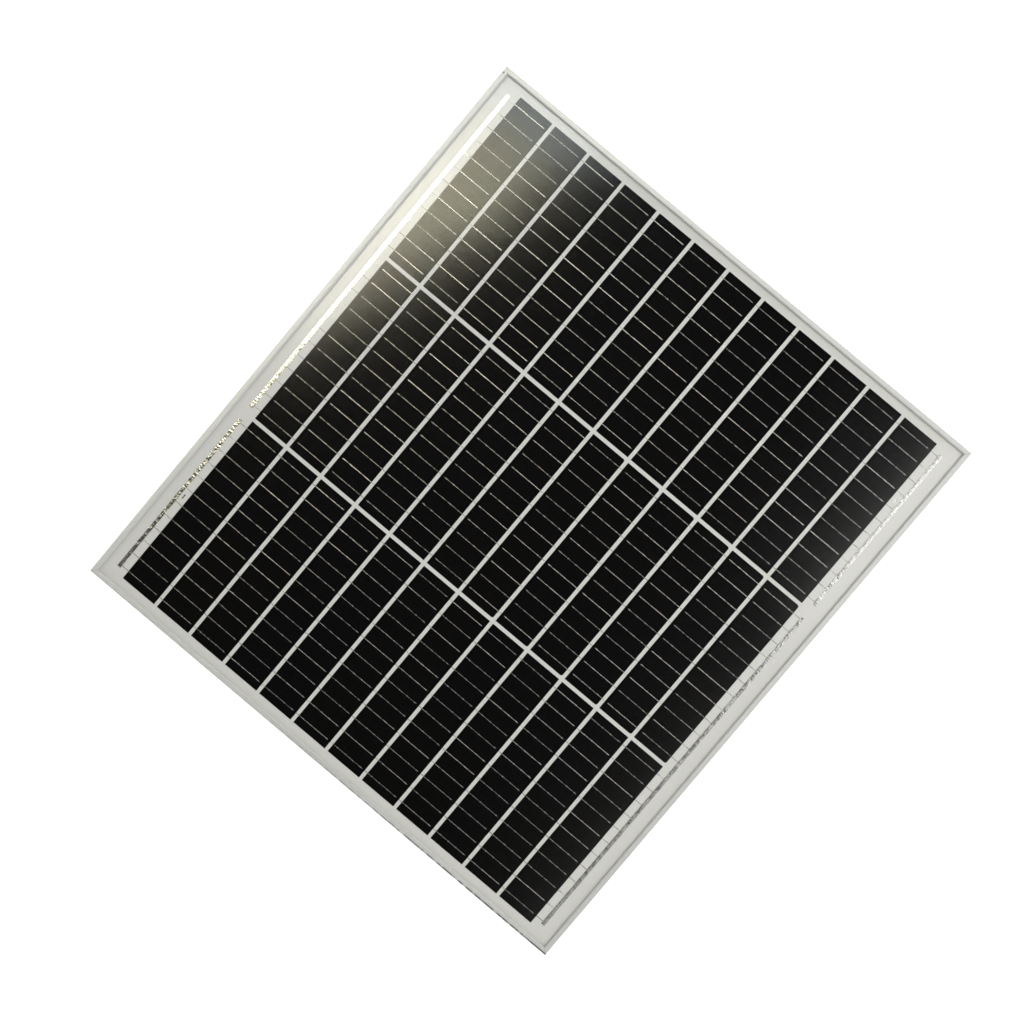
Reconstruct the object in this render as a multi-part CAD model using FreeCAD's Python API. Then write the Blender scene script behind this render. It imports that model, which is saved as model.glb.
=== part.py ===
import FreeCAD, Part

import math
import os

# Framed photovoltaic panel, face up. Millimetres, +Z out of the glass.
# The origin is the centre of the frame's rear plane, on which the panel rests.
# +X crosses the cells' short sides, +Y runs along their long sides towards the top rail.

# --- Whole panel -------------------------------------------------------------------------
panel_width = 610.0
panel_length = 667.0
frame_height = 25.0

# --- Frame extrusion ---------------------------------------------------------------------
frame_wall = 1.4
lip_width = 5.0
lip_thickness = 1.3
shelf_width = 7.0
web_thickness = 1.3
chamber_height = 9.5
flange_width = 18.0
flange_thickness = 1.4
edge_radius = 0.5
small_radius = 0.25

# Four slots take the mounting bolts, two round holes take earthing screws, and
# round holes by the corners drain the frame.
mount_slot_width = 7.0
mount_slot_length = 11.0
mount_spacing_x = 380.0
earth_hole_diameter = 4.2
drain_hole_diameter = 4.0
drain_from_corner = 45.0
hole_from_flange_edge = 5.8

# A punch presses each rail on to its corner key.
crimp_diameter = 3.4
crimp_depth = 0.9
crimp_from_corner = 6.6

# Corner keys
key_leg = 34.0
key_clearance = 0.1
key_notch_depth = 0.5
key_notch_width = 1.2
key_notch_pitch = 5.0
key_notch_count = 4

# --- Laminate, from the front ------------------------------------------------------------
sealant_edge = 1.0
sealant_face = 0.35
sealant_setback = 0.4
glass_thickness = 3.2
front_encapsulant_thickness = 0.45
encapsulant_rim = 8.0
rear_encapsulant_thickness = 0.6
backsheet_thickness = 0.35

# --- Cells: thin strips of a large wafer, in three rows ----------------------------------
cell_width = 42.0
cell_length = 210.0
cell_thickness = 0.18
cell_gap = 4.0
column_count = 12
row_names = ("top", "middle", "bottom")
array_shift_x = -1.0
array_shift_y = 0.25
# The wafer's outer strips keep its small corner chamfers; they lie in the middle row.
wafer_chamfer = 1.5
chamfered_row = 1
first_chamfered_column = 6

# Ribbons that join each cell's face to its neighbour's back
ribbon_count = 12
ribbon_width = 0.6
ribbon_thickness = 0.2
ribbon_end_margin = 9.3
ribbon_short_by = 3.4
ribbon_bend_clearance = 0.4
ribbon_drop_length = 5.0

# Bus ribbons at the ends of the rows
bus_width = 4.0
bus_thickness = 0.25
bus_from_cells = 10.7
bus_overhang = 3.0

# --- Ribbons that lead from the array's two ends to the junction box ---------------------
lead_width = 5.0
lead_thickness = 0.2
lead_ribbon_steps = 2
lead_down_x = -160.0
lead_bend_length = 2.0
strip_margin = 2.0
strip_thickness = 0.25
pocket_clearance = 0.2

# --- Junction box ------------------------------------------------------------------------
box_length_x = 84.0
box_length_y = 70.0
box_wall = 2.0
box_floor = 2.0
box_depth = 12.0
box_corner_radius = 4.0
foot_width = 5.0
lead_to_box_centre = 13.0
adhesive_thickness = 0.8
adhesive_width = 7.0
adhesive_inset = 1.0
floor_window_margin = 2.0

gasket_thickness = 0.8
lid_thickness = 2.0
lid_panel_depth = 0.5
lid_panel_margin = 7.0
lid_rib_height = 1.6
lid_rib_width = 1.4
lid_rib_clearance = 0.4
lid_rib_setback = 8.0
mark_length = 7.0
mark_width = 1.6
mark_from_edge = 14.0

tongue_width = 14.0
tongue_height = 7.0
tongue_thickness = 1.3
tongue_gap = 0.35
catch_width = 7.0
catch_height = 1.4
catch_proud = 0.25
catch_clearance = 0.5

hinge_spacing = 50.0
hinge_offset = 3.2
hinge_below_rim = 1.0
knuckle_radius = 2.6
lid_knuckle_length = 12.0
base_knuckle_length = 5.0
knuckle_gap = 0.3
pin_radius = 1.0
pin_clearance = 0.05
hinge_web_height = 3.5

# --- Terminals and diode -----------------------------------------------------------------
drop_x = 8.0
terminal_from_drop = 1.5
terminal_width = 12.0
terminal_length = 32.0
terminal_thickness = 0.8
terminal_shift_y = 2.0
boss_height = 3.0
boss_radius = 3.2
screw_radius = 1.5
screw_hole_clearance = 0.1
screw_head_radius = 2.75
screw_head_height = 1.8
screw_slot_width = 0.7
screw_slot_depth = 0.7
screw_bite = 4.0
screw_offsets_y = (-11.0, 1.0)
lead_tail = 7.0
diode_radius = 2.5
diode_length = 9.0
diode_leg_radius = 0.6
diode_leg_reach = 3.0
diode_shift_y = -5.0

# --- Cable glands, in the wall that faces the panel's middle -----------------------------
gland_spacing = 40.0
gland_rim_ligament = 1.2
cable_passage_radius = 2.9
spigot_radius = 3.8
spigot_clearance = 0.05
locknut_radius = 4.9
locknut_thickness = 2.5
collar_radius = 5.5
collar_thickness = 2.0
barrel_radius = 4.6
barrel_length = 9.0
seal_pocket_depth = 6.0
seal_outer_radius = 3.9
seal_bore_radius = 2.65
seal_length = 5.6
nut_across_flats = 11.2
nut_clearance = 0.05
nut_gap = 0.6
nut_end_thickness = 1.4
nut_mouth_radius = 3.0

# --- Blank label -------------------------------------------------------------------------
label_x = 110.0
label_y = 60.0
label_thickness = 0.1
label_centre = (150.0, 60.0)

# --- How the solids are made -------------------------------------------------------------
# A cutter runs this far past the faces that it opens.
overshoot = 1.0
# A moulded feature is rooted this far into the wall or floor that it stands on.
root_depth = 0.5

# --- Levels that follow from the sizes above ---------------------------------------------
lip_bottom = frame_height - lip_thickness
glass_top = lip_bottom - sealant_face
glass_bottom = glass_top - glass_thickness
front_ribbon_top = glass_bottom - front_encapsulant_thickness
cell_top = front_ribbon_top - ribbon_thickness
cell_bottom = cell_top - cell_thickness
back_ribbon_bottom = cell_bottom - ribbon_thickness
backsheet_top = back_ribbon_bottom - rear_encapsulant_thickness
backsheet_bottom = backsheet_top - backsheet_thickness
groove_bottom = backsheet_bottom - sealant_face
chamber_top = groove_bottom - web_thickness
chamber_bottom = chamber_top - chamber_height
web_bottom = chamber_bottom - web_thickness
strip_bottom = back_ribbon_bottom - strip_thickness
lead_bottom = strip_bottom - lead_thickness

base_top = backsheet_bottom - adhesive_thickness
floor_bottom = base_top - box_floor
rim_level = base_top - box_depth
lid_top = rim_level - gasket_thickness
lid_bottom = lid_top - lid_thickness
terminal_top = floor_bottom - boss_height
terminal_bottom = terminal_top - terminal_thickness
hinge_level = rim_level - hinge_below_rim
catch_level = rim_level + tongue_height / 2 - gasket_thickness
gland_level = rim_level + gland_rim_ligament + spigot_radius

# --- Places in the plane that follow from the sizes above --------------------------------
half_width = panel_width / 2
half_length = panel_length / 2
glass_x = panel_width - 2 * (frame_wall + sealant_edge)
glass_y = panel_length - 2 * (frame_wall + sealant_edge)
row_count = len(row_names)
column_pitch = cell_width + cell_gap
row_pitch = cell_length + cell_gap
array_width = column_count * column_pitch - cell_gap
ribbon_pitch = (cell_length - 2 * ribbon_end_margin) / (ribbon_count - 1)
row_centre = [array_shift_y + (1 - row) * row_pitch for row in range(row_count)]
bus_centre_x = array_width / 2 + bus_from_cells

lead_y = row_centre[0] + lead_ribbon_steps * ribbon_pitch
return_y = row_centre[-1]
box_y = lead_y - lead_to_box_centre
box_front_y = box_y - box_length_y / 2
box_back_y = box_y + box_length_y / 2
hinge_y = box_back_y + hinge_offset
base_eye_start = lid_knuckle_length / 2 + knuckle_gap
base_eye_end = base_eye_start + base_knuckle_length
hole_line = flange_width - hole_from_flange_edge


def block(x0, x1, y0, y1, z0, z1):
    """A box between two corners."""
    return Part.makeBox(x1 - x0, y1 - y0, z1 - z0, FreeCAD.Vector(x0, y0, z0))


def plate(size_x, size_y, z0, z1, centre=(0.0, 0.0)):
    """A box centred on a point of the plane."""
    cx, cy = centre
    return block(cx - size_x / 2, cx + size_x / 2, cy - size_y / 2, cy + size_y / 2, z0, z1)


def rod(radius, start, end):
    """A round bar between two points."""
    along = FreeCAD.Vector(*end) - FreeCAD.Vector(*start)
    return Part.makeCylinder(radius, along.Length, FreeCAD.Vector(*start), along)


def fuse(first, *others):
    """One solid from pieces that overlap or touch."""
    return first.fuse(list(others)).removeSplitter()


def outline(corners):
    """A closed wire through corners (point, radius); a radius above zero rounds its corner."""
    edges = []
    start = None
    last = None
    for i, (point, radius) in enumerate(corners):
        before = corners[i - 1][0] - point
        after = corners[(i + 1) % len(corners)][0] - point
        before.normalize()
        after.normalize()
        enter = leave = point
        if radius > 0:
            half = before.getAngle(after) / 2
            enter = point + before * (radius / math.tan(half))
            leave = point + after * (radius / math.tan(half))
            towards_centre = before + after
            towards_centre.normalize()
            centre = point + towards_centre * (radius / math.sin(half))
            middle = centre - towards_centre * radius
        if last is not None:
            edges.append(Part.makeLine(last, enter))
        if radius > 0:
            edges.append(Part.Arc(enter, middle, leave).toShape())
        start = start or enter
        last = leave
    edges.append(Part.makeLine(last, start))
    return Part.Wire(edges)


def prism(points, vector):
    """A straight extrusion of a polygon."""
    return Part.Face(Part.makePolygon(points + points[:1])).extrude(vector)


def rounded_plate(size_x, size_y, radius, z0, z1, centre):
    """An extruded rectangle with rounded corners."""
    cx, cy = centre
    signs = ((-1, -1), (1, -1), (1, 1), (-1, 1))
    corners = [
        (FreeCAD.Vector(cx + sx * size_x / 2, cy + sy * size_y / 2, z0), radius)
        for sx, sy in signs
    ]
    return Part.Face(outline(corners)).extrude(FreeCAD.Vector(0, 0, z1 - z0))


def slot_cutter(length, width, centre, z0, z1):
    """A rounded slot along X, for cutting."""
    cx, cy = centre
    reach = (length - width) / 2
    ends = [rod(width / 2, (cx + s * reach, cy, z0), (cx + s * reach, cy, z1)) for s in (-1, 1)]
    return fuse(plate(2 * reach, width, z0, z1, centre), *ends)


# --- Frame -------------------------------------------------------------------------------
def rail_blank(length):
    """A mitred rail along X. Its outer face is at y = 0 and the panel lies towards +Y."""

    def at(u, z, radius=0.0):
        return FreeCAD.Vector(0, u, z), radius

    section = outline(
        [
            at(0, 0, edge_radius),
            at(flange_width, 0, small_radius),
            at(flange_width, flange_thickness, small_radius),
            at(frame_wall, flange_thickness),
            at(frame_wall, web_bottom),
            at(shelf_width, web_bottom, small_radius),
            at(shelf_width, groove_bottom, small_radius),
            at(frame_wall, groove_bottom),
            at(frame_wall, lip_bottom),
            at(lip_width, lip_bottom, small_radius),
            at(lip_width, frame_height, edge_radius),
            at(0, frame_height, edge_radius),
        ]
    )
    chamber_inner = shelf_width - frame_wall
    chamber = outline(
        [
            at(frame_wall, chamber_bottom),
            at(chamber_inner, chamber_bottom),
            at(chamber_inner, chamber_top),
            at(frame_wall, chamber_top),
        ]
    )
    face = Part.Face(section).cut(Part.Face(chamber))
    bar = face.extrude(FreeCAD.Vector(length, 0, 0))
    mitred = [
        FreeCAD.Vector(0, 0, 0),
        FreeCAD.Vector(length, 0, 0),
        FreeCAD.Vector(length - flange_width, flange_width, 0),
        FreeCAD.Vector(flange_width, flange_width, 0),
    ]
    rail = bar.common(prism(mitred, FreeCAD.Vector(0, 0, frame_height)))
    rail.translate(FreeCAD.Vector(-length / 2, 0, 0))
    return rail


def placed(shape, angle, x, y):
    """The shape turned about Z, then moved in the plane."""
    shape.rotate(FreeCAD.Vector(0, 0, 0), FreeCAD.Vector(0, 0, 1), angle)
    shape.translate(FreeCAD.Vector(x, y, 0))
    return shape


def end_rail(side):
    """The bottom rail (side -1) or the top rail (side 1), with two mounting slots."""
    angle = 0 if side < 0 else 180
    rail = placed(rail_blank(panel_width), angle, 0, side * half_length)
    hole_y = side * (half_length - hole_line)
    for sign in (-1, 1):
        centre = (sign * mount_spacing_x / 2, hole_y)
        slot = slot_cutter(mount_slot_length, mount_slot_width, centre, -overshoot, web_bottom)
        drain_x = sign * (half_width - drain_from_corner)
        outside = (drain_x, hole_y, -overshoot)
        drain = rod(drain_hole_diameter / 2, outside, (drain_x, hole_y, web_bottom))
        rail = rail.cut([slot, drain])
    return rail


def side_rail(side):
    """The left rail (side -1) or the right rail (side 1), with an earthing hole and crimps."""
    angle = -90 if side < 0 else 90
    rail = placed(rail_blank(panel_length), angle, side * half_width, 0)
    hole_x = side * (half_width - hole_line)
    hole = rod(earth_hole_diameter / 2, (hole_x, 0, -overshoot), (hole_x, 0, web_bottom))
    rail = rail.cut(hole)
    crimp_z = (chamber_bottom + chamber_top) / 2
    for sign in (-1, 1):
        y = sign * (half_length - crimp_from_corner)
        outside = (side * (half_width + overshoot), y, crimp_z)
        inside = (side * (half_width - crimp_depth), y, crimp_z)
        rail = rail.cut(rod(crimp_diameter / 2, outside, inside))
    return rail


def corner_key(side_x, side_y):
    """An L that fills the hollow chambers of two rails where they meet."""
    thickness = shelf_width - 2 * frame_wall - key_clearance
    height = chamber_height - key_clearance
    outer = frame_wall
    inner = frame_wall + thickness
    corners = [
        (outer, outer),
        (key_leg, outer),
        (key_leg, inner),
        (inner, inner),
        (inner, key_leg),
        (outer, key_leg),
    ]
    base = chamber_bottom
    key = prism([FreeCAD.Vector(x, y, base) for x, y in corners], FreeCAD.Vector(0, 0, height))
    floor = inner - key_notch_depth
    past = inner + overshoot
    low = base - overshoot
    high = base + height + overshoot
    for step in range(key_notch_count):
        start = key_leg - (step + 1) * key_notch_pitch
        end = start + key_notch_width
        key = key.cut(block(start, end, floor, past, low, high))
        key = key.cut(block(floor, past, start, end, low, high))
    turns = {(-1, -1): 0, (1, -1): 90, (1, 1): 180, (-1, 1): 270}
    return placed(key, turns[side_x, side_y], side_x * half_width, side_y * half_length)


def edge_sealant():
    """Silicone that fills the groove around the laminate's edge."""
    groove = plate(
        panel_width - 2 * frame_wall, panel_length - 2 * frame_wall, groove_bottom, lip_bottom
    )
    laminate = plate(glass_x, glass_y, backsheet_bottom, glass_top)
    open_top = lip_width - sealant_setback
    open_bottom = shelf_width - sealant_setback
    above = plate(
        panel_width - 2 * open_top,
        panel_length - 2 * open_top,
        glass_top,
        lip_bottom + overshoot,
    )
    below = plate(
        panel_width - 2 * open_bottom,
        panel_length - 2 * open_bottom,
        groove_bottom - overshoot,
        backsheet_bottom,
    )
    return groove.cut([laminate, above, below])


# --- Cells and their ribbons -------------------------------------------------------------
def column_left(column):
    """The left edge of a column of cells."""
    return array_shift_x - array_width / 2 + column * column_pitch


def cell(row, column):
    """One cell. A wafer's outer strip has small chamfers at its right-hand corners."""
    x0 = column_left(column)
    x1 = x0 + cell_width
    y0 = row_centre[row] - cell_length / 2
    y1 = y0 + cell_length
    chamfered = row == chamfered_row and column >= first_chamfered_column
    if not chamfered:
        return block(x0, x1, y0, y1, cell_bottom, cell_top)
    corners = [
        (x0, y0),
        (x1 - wafer_chamfer, y0),
        (x1, y0 + wafer_chamfer),
        (x1, y1 - wafer_chamfer),
        (x1 - wafer_chamfer, y1),
        (x0, y1),
    ]
    points = [FreeCAD.Vector(x, y, cell_bottom) for x, y in corners]
    return prism(points, FreeCAD.Vector(0, 0, cell_thickness))


def bent_strip(stations, thickness, width, y):
    """A flat strip along X through stations (x, z of its lower face), centred on y."""
    lower = [FreeCAD.Vector(x, y - width / 2, z) for x, z in stations]
    upper = [point + FreeCAD.Vector(0, 0, thickness) for point in reversed(lower)]
    return prism(lower + upper, FreeCAD.Vector(0, width, 0))


def row_stations(column, direction):
    """The path of one ribbon. It leaves the back of the cell before this column, or a bus
    ribbon, crosses the gap and lies on this column's face. column may be one past the last:
    then only the back part is left. direction -1 runs the row the other way."""
    front = cell_top
    back = back_ribbon_bottom
    reach = cell_width - ribbon_short_by
    first = -array_width / 2
    bus_end = bus_from_cells + bus_width / 2 - ribbon_bend_clearance
    start = first + column * column_pitch
    if column == 0:
        drop = start - ribbon_bend_clearance
        path = [
            (start - bus_end, back),
            (drop - ribbon_drop_length, back),
            (drop, front),
            (start + reach, front),
        ]
    elif column == column_count:
        end = start - cell_gap
        path = [(end - reach, back), (end + bus_end, back)]
    else:
        end = start - cell_gap
        path = [
            (end - reach, back),
            (end + ribbon_bend_clearance, back),
            (start - ribbon_bend_clearance, front),
            (start + reach, front),
        ]
    return [(array_shift_x + direction * x, z) for x, z in path]


def row_ribbons(row):
    """Every ribbon of one row. The middle row runs the other way."""
    direction = -1 if row % 2 else 1
    strips = []
    for number in range(ribbon_count):
        y = row_centre[row] + (number - (ribbon_count - 1) / 2) * ribbon_pitch
        for column in range(column_count + 1):
            stations = row_stations(column, direction)
            strips.append(bent_strip(stations, ribbon_thickness, ribbon_width, y))
    return Part.makeCompound(strips)


def bus_ribbon(side, first_row, last_row):
    """A wide ribbon across the ends of one row or two."""
    reach = cell_length / 2 - ribbon_end_margin + bus_overhang
    low = row_centre[last_row] - reach
    high = row_centre[first_row] + reach
    x = array_shift_x + side * bus_centre_x
    z = back_ribbon_bottom + ribbon_thickness
    return block(x - bus_width / 2, x + bus_width / 2, low, high, z, z + bus_thickness)


# --- Lead ribbons behind the cells -------------------------------------------------------
def run(points, width, z0, z1):
    """Plates along a path of straight runs, each along X or Y."""
    pieces = []
    for (xa, ya), (xb, yb) in zip(points, points[1:]):
        pieces.append(
            block(
                min(xa, xb) - width / 2,
                max(xa, xb) + width / 2,
                min(ya, yb) - width / 2,
                max(ya, yb) + width / 2,
                z0,
                z1,
            )
        )
    return fuse(*pieces) if len(pieces) > 1 else pieces[0]


def lead_route(side):
    """The plan of a lead's middle line, from the array's edge to where it drops into the box.
    A run reaches half its width past the line's ends."""
    outer = array_shift_x + side * (array_width / 2)
    inner = side * (drop_x + lead_width / 2)
    if side > 0:
        return [(outer, lead_y), (inner, lead_y)]
    return [(outer, return_y), (lead_down_x, return_y), (lead_down_x, lead_y), (inner, lead_y)]


def lead_ribbon(side):
    """A flat lead: it steps down from the bus ribbon, runs behind the cells, and drops
    through the rear layers on to its terminal."""
    route = lead_route(side)
    outer_x, outer_y = route[0]
    bus_x = array_shift_x + side * bus_centre_x
    bus_face = back_ribbon_bottom
    step_x = bus_x - side * (bus_width / 2 + lead_bend_length)
    stations = [
        (outer_x, lead_bottom),
        (step_x, lead_bottom),
        (step_x + side * lead_bend_length, bus_face),
        (bus_x + side * (bus_width / 2), bus_face),
    ]
    step = bent_strip(stations, lead_thickness, lead_width, outer_y)
    flat = run(route, lead_width, lead_bottom, strip_bottom)
    inner = side * drop_x
    outer = side * (drop_x + lead_thickness)
    tail_end = side * (drop_x + lead_tail)
    low_y = lead_y - lead_width / 2
    high_y = lead_y + lead_width / 2
    down = block(min(inner, outer), max(inner, outer), low_y, high_y, terminal_top, strip_bottom)
    tail_top = terminal_top + lead_thickness
    tail = block(min(inner, tail_end), max(inner, tail_end), low_y, high_y, terminal_top, tail_top)
    return fuse(flat, step, down, tail)


def insulation_strip(side):
    """A white strip between a lead and the backs of the cells."""
    return run(lead_route(side), lead_width + 2 * strip_margin, strip_bottom, back_ribbon_bottom)


def lead_pocket(side):
    """The room that a lead and its strip take in the rear encapsulant."""
    route = lead_route(side)
    outer_x, outer_y = route[0]
    bus_outer = array_shift_x + side * (bus_centre_x + bus_width / 2 + pocket_clearance)
    width = lead_width + 2 * pocket_clearance
    top = back_ribbon_bottom
    flat = run(route, width, lead_bottom, strip_bottom)
    step = block(
        min(outer_x, bus_outer),
        max(outer_x, bus_outer),
        outer_y - width / 2,
        outer_y + width / 2,
        lead_bottom,
        top,
    )
    return fuse(flat, step, insulation_strip(side))


def lead_slit(side):
    """The slit through which a lead passes the rear layers."""
    x = side * (drop_x + lead_thickness / 2)
    size_x = lead_thickness + 2 * pocket_clearance
    size_y = lead_width + 2 * pocket_clearance
    return plate(size_x, size_y, backsheet_bottom - overshoot, strip_bottom, (x, lead_y))


def front_encapsulant():
    """A clear sheet under the glass, with a rim that closes the laminate's edge."""
    sheet = plate(glass_x, glass_y, back_ribbon_bottom, glass_bottom)
    inside = plate(
        glass_x - 2 * encapsulant_rim,
        glass_y - 2 * encapsulant_rim,
        back_ribbon_bottom - overshoot,
        front_ribbon_top,
    )
    return sheet.cut(inside)


def rear_encapsulant():
    """A sheet behind the cells, with room for the leads."""
    sheet = plate(glass_x, glass_y, backsheet_top, back_ribbon_bottom)
    cutters = [fuse(lead_pocket(side), lead_slit(side)) for side in (-1, 1)]
    return sheet.cut(cutters)


def backsheet():
    """The white rear skin."""
    sheet = plate(glass_x, glass_y, backsheet_bottom, backsheet_top)
    return sheet.cut([lead_slit(-1), lead_slit(1)])


# --- Junction box ------------------------------------------------------------------------
box_centre = (0.0, box_y)
foot_x = box_length_x + 2 * foot_width
foot_y = box_length_y + foot_width
foot_centre = (0.0, box_y + foot_width / 2)
hinge_centres = [-hinge_spacing / 2, hinge_spacing / 2]
gland_centres = [-gland_spacing / 2, gland_spacing / 2]


def hinge_rod(radius, x0, x1):
    """A round bar on the lid's hinge line."""
    return rod(radius, (x0, hinge_y, hinge_level), (x1, hinge_y, hinge_level))


def base_knuckle(x0, x1):
    """A hinge eye on the base's rear wall."""
    web = block(x0, x1, box_back_y - root_depth, hinge_y, rim_level, rim_level + hinge_web_height)
    return [web, hinge_rod(knuckle_radius, x0, x1)]


def terminal_centre(side):
    """The middle of a terminal plate, in the plane."""
    return side * (drop_x + terminal_from_drop + terminal_width / 2), box_y + terminal_shift_y


def screw_places(side):
    """Where a terminal's two screws stand."""
    x, y = terminal_centre(side)
    return [(x, y + offset) for offset in screw_offsets_y]


def junction_box_base():
    """A moulded tray, open towards the rear, with a foot that is glued to the backsheet."""
    foot = rounded_plate(foot_x, foot_y, box_corner_radius, floor_bottom, base_top, foot_centre)
    walls = rounded_plate(
        box_length_x, box_length_y, box_corner_radius, rim_level, base_top, box_centre
    )
    room = rounded_plate(
        box_length_x - 2 * box_wall,
        box_length_y - 2 * box_wall,
        box_corner_radius - box_wall,
        rim_level - overshoot,
        floor_bottom,
        box_centre,
    )
    base = fuse(foot, walls).cut(room)
    added = []
    for centre in hinge_centres:
        added += base_knuckle(centre - base_eye_end, centre - base_eye_start)
        added += base_knuckle(centre + base_eye_start, centre + base_eye_end)
    for side in (-1, 1):
        for x, y in screw_places(side):
            root = (x, y, floor_bottom + root_depth)
            added.append(rod(boss_radius, (x, y, terminal_top), root))
    added.append(
        block(
            -catch_width / 2,
            catch_width / 2,
            box_front_y - catch_proud,
            box_front_y + root_depth,
            catch_level - catch_height / 2,
            catch_level + catch_height / 2,
        )
    )
    base = fuse(base, *added)
    window_x = 2 * (drop_x + lead_thickness + floor_window_margin)
    window_y = lead_width + 2 * floor_window_margin
    window_low = floor_bottom - overshoot
    window = plate(window_x, window_y, window_low, base_top + overshoot, (0.0, lead_y))
    cutters = [window]
    for centre in hinge_centres:
        half = base_eye_end + overshoot
        cutters.append(hinge_rod(pin_radius, centre - half, centre + half))
    for side in (-1, 1):
        for x, y in screw_places(side):
            mouth = (x, y, terminal_top - overshoot)
            end = (x, y, terminal_bottom + screw_bite + terminal_thickness)
            cutters.append(rod(screw_radius, mouth, end))
    for x in gland_centres:
        start = (x, box_front_y - overshoot, gland_level)
        end = (x, box_front_y + box_wall + overshoot, gland_level)
        cutters.append(rod(spigot_radius + spigot_clearance, start, end))
    return base.cut(cutters)


def junction_box_adhesive():
    """A bead of silicone under the foot's edge."""
    outer = rounded_plate(
        foot_x - 2 * adhesive_inset,
        foot_y - 2 * adhesive_inset,
        box_corner_radius - adhesive_inset,
        base_top,
        backsheet_bottom,
        foot_centre,
    )
    border = 2 * (adhesive_inset + adhesive_width)
    low = base_top - overshoot
    high = backsheet_bottom + overshoot
    inner = plate(foot_x - border, foot_y - border, low, high, foot_centre)
    return outer.cut(inner)


def lid_gasket():
    """A flat rubber ring between the lid and the base's rim."""
    outer = rounded_plate(
        box_length_x, box_length_y, box_corner_radius, lid_top, rim_level, box_centre
    )
    inner = rounded_plate(
        box_length_x - 2 * box_wall,
        box_length_y - 2 * box_wall,
        box_corner_radius - box_wall,
        lid_top - overshoot,
        rim_level + overshoot,
        box_centre,
    )
    return outer.cut(inner)


def junction_box_lid():
    """The snap lid, with hinge eyes, locating ribs, a latch tongue and polarity marks."""
    lid = rounded_plate(
        box_length_x, box_length_y, box_corner_radius, lid_bottom, lid_top, box_centre
    )
    panel = rounded_plate(
        box_length_x - 2 * lid_panel_margin,
        box_length_y - 2 * lid_panel_margin,
        box_corner_radius / 2,
        lid_bottom - overshoot,
        lid_bottom + lid_panel_depth,
        box_centre,
    )
    lid = lid.cut(panel)
    added = []
    for centre in hinge_centres:
        x0 = centre - lid_knuckle_length / 2
        x1 = centre + lid_knuckle_length / 2
        added.append(block(x0, x1, box_back_y - box_wall, hinge_y, lid_bottom, lid_top))
        added.append(hinge_rod(knuckle_radius, x0, x1))
    rib_y0 = box_front_y + lid_rib_setback
    rib_y1 = box_back_y - lid_rib_setback
    for side in (-1, 1):
        outer = side * (box_length_x / 2 - box_wall - lid_rib_clearance)
        inner = outer - side * lid_rib_width
        x0, x1 = min(outer, inner), max(outer, inner)
        added.append(block(x0, x1, rib_y0, rib_y1, lid_top, rim_level + lid_rib_height))
    tongue_face = box_front_y - tongue_gap
    tongue_front = tongue_face - tongue_thickness
    half = tongue_width / 2
    added.append(block(-half, half, tongue_front, box_front_y + box_wall, lid_bottom, lid_top))
    added.append(
        block(-half, half, tongue_front, tongue_face, lid_bottom, rim_level + tongue_height)
    )
    mark_y = box_front_y + mark_from_edge
    for x in gland_centres:
        added.append(plate(mark_length, mark_width, lid_bottom, lid_top, (x, mark_y)))
    plus_x = gland_centres[1]
    added.append(plate(mark_width, mark_length, lid_bottom, lid_top, (plus_x, mark_y)))
    lid = fuse(lid, *added)
    cutters = []
    for centre in hinge_centres:
        half_hole = lid_knuckle_length / 2 + overshoot
        hole = hinge_rod(pin_radius + pin_clearance, centre - half_hole, centre + half_hole)
        cutters.append(hole)
    window = catch_width / 2 + catch_clearance
    cutters.append(
        block(
            -window,
            window,
            tongue_front - overshoot,
            tongue_face + tongue_gap / 2,
            catch_level - catch_height / 2 - catch_clearance,
            catch_level + catch_height / 2 + catch_clearance,
        )
    )
    return lid.cut(cutters)


def hinge_pin(centre):
    """A plain steel pin, tight in the base's two eyes and free in the lid's."""
    return hinge_rod(pin_radius, centre - base_eye_end, centre + base_eye_end)


def terminal(side):
    """A tinned plate that joins a lead, a diode leg and a cable."""
    centre = terminal_centre(side)
    strip = plate(terminal_width, terminal_length, terminal_bottom, terminal_top, centre)
    radius = screw_radius + screw_hole_clearance
    low = terminal_bottom - overshoot
    high = terminal_top + overshoot
    return strip.cut([rod(radius, (x, y, low), (x, y, high)) for x, y in screw_places(side)])


def terminal_screw(x, y):
    """A slotted screw, head towards the lid."""
    top = terminal_bottom + screw_bite
    head_bottom = terminal_bottom - screw_head_height
    shank = rod(screw_radius, (x, y, terminal_bottom), (x, y, top))
    head = rod(screw_head_radius, (x, y, head_bottom), (x, y, terminal_bottom))
    slot = plate(
        2 * (screw_head_radius + overshoot),
        screw_slot_width,
        head_bottom - overshoot,
        head_bottom + screw_slot_depth,
        (x, y),
    )
    return fuse(shank, head).cut(slot)


def bypass_diode():
    """An axial diode across the two terminals."""
    y = box_y + terminal_shift_y + diode_shift_y
    z = terminal_bottom - diode_leg_radius
    reach = drop_x + terminal_from_drop + diode_leg_reach
    body = rod(diode_radius, (-diode_length / 2, y, z), (diode_length / 2, y, z))
    legs = rod(diode_leg_radius, (-reach, y, z), (reach, y, z))
    return fuse(body, legs)


# --- Cable glands ------------------------------------------------------------------------
def gland_rod(radius, x, y0, y1):
    """A round bar on a gland's axis."""
    return rod(radius, (x, y0, gland_level), (x, y1, gland_level))


collar_front_y = box_front_y - collar_thickness
barrel_end_y = collar_front_y - barrel_length
spigot_end_y = box_front_y + box_wall + locknut_thickness
nut_start_y = collar_front_y - nut_gap
nut_end_y = barrel_end_y - nut_end_thickness


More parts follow.
